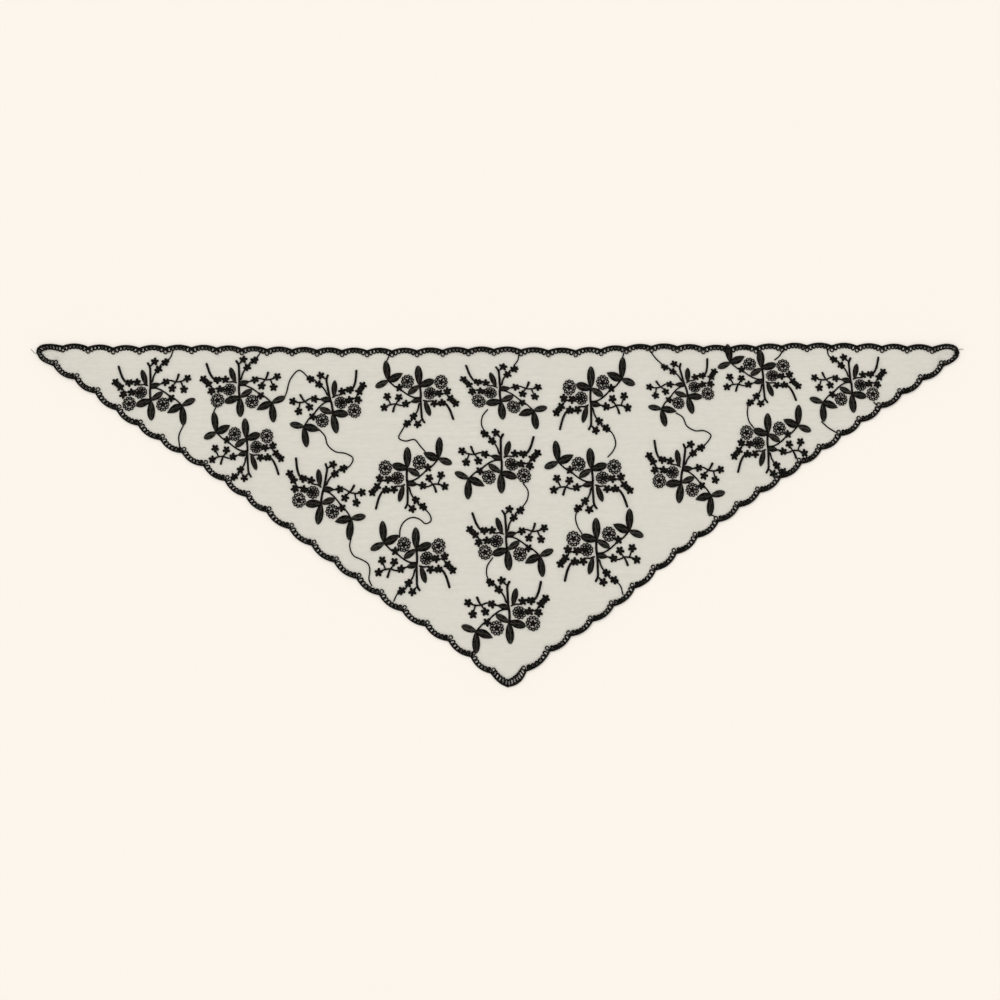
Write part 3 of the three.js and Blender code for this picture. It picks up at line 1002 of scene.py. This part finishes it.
# %% Placing the sprigs
JOINT = (44.6, -20)
TOP = (4, 56)
SPRIGS = [  # x, y, the joint and the top as seen from there
    (-519.5, 172, (46.6, -8.5), (-3.9, 54.4)), (-386.5, 176.5, (47.8, -9.1), (-4.5, 53.1)),
    (-246.5, 153, (-42.9, -21.2), (-7.9, 55.3)), (-116.5, 192, (-46.8, 8.2), (6.7, -54.1)),
    (4, 170.5, (48.7, -15), (-6.7, 49.9)), (138.5, 187.5, (45.9, 15), (-2.5, -59.8)),
    (284, 178, (-38.9, -19.4), (-10.9, 47.8)), (395, 218, (-46.8, 9.3), (7.9, -49.8)),
    (529.5, 182, (-43.1, -14.1), (-2.5, 52)), (-375.5, 112.5, (-44.9, 10.5), (6.3, -55.5)),
    (-264.5, 18, (44.6, -23.5), (7, 57.6)), (-136, 68, (46.6, 15.5), (-2.4, -58)),
    (5.5, 64, (-48.4, -10), (2.2, 56.1)), (140.5, 67, (-49.8, 11.7), (7, -57.4)),
    (273.5, 49, (44.6, -20), (4, 56)), (403, 119.5, (44.9, 13.3), (-1.6, -56.5)),
    (-121.5, -53, (-48, 10.5), (4.3, -59.8)), (13.5, -51, (48.6, -10.5), (-6.9, 56.8)),
    (147, -39, (48.6, 14.7), (-0.7, -60.1)), (17.5, -159.5, (-49.3, -14.7), (-0.3, 59.4)),
]


def placed(number, x, y, joint, top):
    """A copy of the sprig with its origin at x, y, stretched so that its joint and top fit."""
    turn = np.column_stack([joint, top]) @ np.linalg.inv(np.column_stack([JOINT, TOP]))
    place = np.identity(4)
    place[:2, :2] = turn
    place[:2, 3] = x * MM, y * MM
    mesh = sprig.data.copy()
    mesh.transform(Matrix(place.tolist()))
    if np.linalg.det(turn) < 0:
        mesh.flip_normals()
    lay_down(mesh)
    node = f"sprig_{number:02d}"
    piece = show(mesh, "stitched_" + node)
    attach(piece, "root")
    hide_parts(node)
    return piece


sprigs = [placed(number, *row) for number, row in enumerate(SPRIGS, 1)]
only(sprig)
bpy.ops.object.delete()
print(len(sprigs), "sprigs")

# %% [markdown]
# ## Linking threads
# The machine runs on from one sprig to the next or to the border, and leaves a thin stitched line
# between them. At each tip a loose thread end sticks out. No formula gives their way, so each is a
# thread through a few points that were read one by one.

# %% Linking threads
LINK_HALF_WIDTH = 1.05
LINK_HEIGHT = 1.1
LINK_STEPS = 4
LINKS = [  # the points that each one goes through
    [(-486, 244), (-489.5, 235), (-496.5, 227)],
    [(-470, 134), (-477, 118), (-475.5, 100)],
    [(-354.5, 243), (-363.5, 230.5)],
    [(-322.5, 169.5), (-317, 180), (-310, 203), (-297.5, 216), (-281.5, 203)],
    [(-420, 164), (-425.5, 152.5)],
    [(-267.5, 127.5), (-258.5, 117.5), (-255, 105), (-242.5, 94), (-227.5, 91.5), (-216.5, 84),
     (-221.5, 73), (-229, 68)],
    [(-162, 239), (-167, 228)],
    [(-141, 130), (-148, 114), (-137.5, 110), (-125, 112.5), (-116, 102.5), (-108.5, 94)],
    [(-112.5, 11), (-101, -1.5), (-100, -9), (-107.5, -13.5), (-117.5, -6.5), (-127, -4),
     (-142, -12.5), (-146, -21.5), (-147, -34)],
    [(31.5, 241.5), (30, 231.5), (24, 223)],
    [(-15.5, 157), (-23, 147.5), (-24.5, 135), (-20.5, 125)],
    [(37.5, 47), (45, 35.5), (44, 23), (36.5, 11)],
    [(-219.5, -35), (-221.5, -47.5), (-215.5, -61.5), (-204, -67), (-194, -73.5), (-191.5, -81),
     (-192.5, -97.5), (-188.5, -106)],
    [(-8, -64.5), (-16, -77), (-15, -95.5), (-11, -101)],
    [(-36, -203.5), (-38, -208)],
    [(-145.5, -110), (-152.5, -122), (-155.5, -129)],
    [(173.5, -97), (183, -106), (187, -119.5)],
    [(118.5, 8), (116, -5.5), (119.5, -18.5), (125.5, -28)],
    [(188, 241.5), (185.5, 231.5)],
    [(163.5, 130), (172, 120), (176, 105), (172, 95), (164.5, 86.5)],
    [(228, 244), (236.5, 233), (247.5, 223)],
    [(266.5, 152), (276, 146), (282.5, 132.5), (295, 125.5), (308.5, 125.5), (318.5, 118.5),
     (313.5, 109), (307, 102.5)],
    [(318.5, 0), (323, -2)],
    [(374, 164.5), (373, 149.5), (376.5, 137.5), (382.5, 130)],
    [(426, 245), (420, 236.5), (414, 231.5)],
    [(417.5, 70.5), (422.5, 61.5)],
    [(492.5, 247.5), (494, 239), (499.5, 233)],
    [(484, 139), (494, 130), (506.5, 122.5)],
    [(562, 168), (566, 164)],
]
LOOSE_ENDS = [
    [(-688, 240), (-691.5, 241), (-695, 244), (-698, 247.5)],
    [(687, 246), (690, 247), (693, 247.5), (696, 247.3)],
]
LOOSE_HALF_WIDTH = 0.3
LOOSE_HEIGHT = 0.8


def thread_piece(name, lines, half_width, z):
    threads = Threads()
    for line in lines:
        threads.add(at_height(smooth(line, LINK_STEPS), z), half_width)
    mesh = threads.mesh(name)
    mesh.materials.append(thread_look)
    lay_down(mesh)
    piece = show(mesh, name)
    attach(piece, "root")
    return piece


links = thread_piece("linking_threads", LINKS, LINK_HALF_WIDTH, LINK_HEIGHT)
loose = thread_piece("loose_ends", LOOSE_ENDS, LOOSE_HALF_WIDTH, LOOSE_HEIGHT)
print(links.name, len(links.data.polygons), "faces,", loose.name, len(loose.data.polygons), "faces")

# %% [markdown]
# ## Ground, light and camera
# The scarf lies on a plain cream ground. Lamps round it would throw several shadows, so the light is
# an even white sky, with one soft sun from the side to bring out the ridges of the thread. The camera
# looks straight down with a long lens, which keeps the scarf's outline true.

# %% Ground
FLOOR_SIZE = 40  # metres, so that none of its edges shows
FLOOR_COLOUR = (0.982, 0.925, 0.845, 1)
FLOOR_SHADE = 0.995
FLOOR_MOTTLE = 3.0


def floor_material():
    g = Graph("plain_ground")
    places = g.node("ShaderNodeTexCoord").outputs["Object"]
    darker = tuple(c * FLOOR_SHADE for c in FLOOR_COLOUR[:3]) + (1,)
    mottle = g.noise(places, FLOOR_MOTTLE, detail=2.0)
    g.give(g.mixed(mottle, darker, FLOOR_COLOUR), g.shader.inputs["Base Color"])
    g.give(1.0, g.shader.inputs["Roughness"])
    g.give(0.0, g.shader.inputs["Specular IOR Level"])
    return g.material


bpy.ops.mesh.primitive_plane_add(size=FLOOR_SIZE, location=(0, 0, 0))
floor = bpy.context.object
floor.name = "ground"
floor.data.materials.append(floor_material())
print(floor.name, FLOOR_SIZE, "m wide")

# %% Light
SKY_STRENGTH = 0.82
SUN_STRENGTH = 0.72
SUN_AT = (-2, 2, 3)
SUN_TURN = (-30, -28, 0)
SUN_SPREAD = 25  # degrees, so that its shadows are soft

world = bpy.data.worlds.new("soft_light")
world.use_nodes = True
sky = world.node_tree.nodes["Background"]
sky.inputs["Color"].default_value = (1, 1, 1, 1)
sky.inputs["Strength"].default_value = SKY_STRENGTH
bpy.context.scene.world = world
sun_turn = tuple(math.radians(degrees) for degrees in SUN_TURN)
bpy.ops.object.light_add(type="SUN", location=SUN_AT, rotation=sun_turn)
sun = bpy.context.object
sun.data.energy = SUN_STRENGTH
sun.data.angle = math.radians(SUN_SPREAD)
print("sky", SKY_STRENGTH, "sun", SUN_STRENGTH)

# %% Camera
CAMERA_AT = (0.00314, 0.02198, 4.154)
CAMERA_LENS = 100
CAMERA_SENSOR = 36
CAMERA_REACH = 100

bpy.ops.object.camera_add(location=CAMERA_AT, rotation=(0, 0, 0))
camera = bpy.context.object
camera.data.lens = CAMERA_LENS
camera.data.sensor_width = CAMERA_SENSOR
camera.data.clip_end = CAMERA_REACH
bpy.context.scene.camera = camera
bpy.context.scene.view_settings.view_transform = "Standard"
print("camera", CAMERA_AT[2], "m above the table")
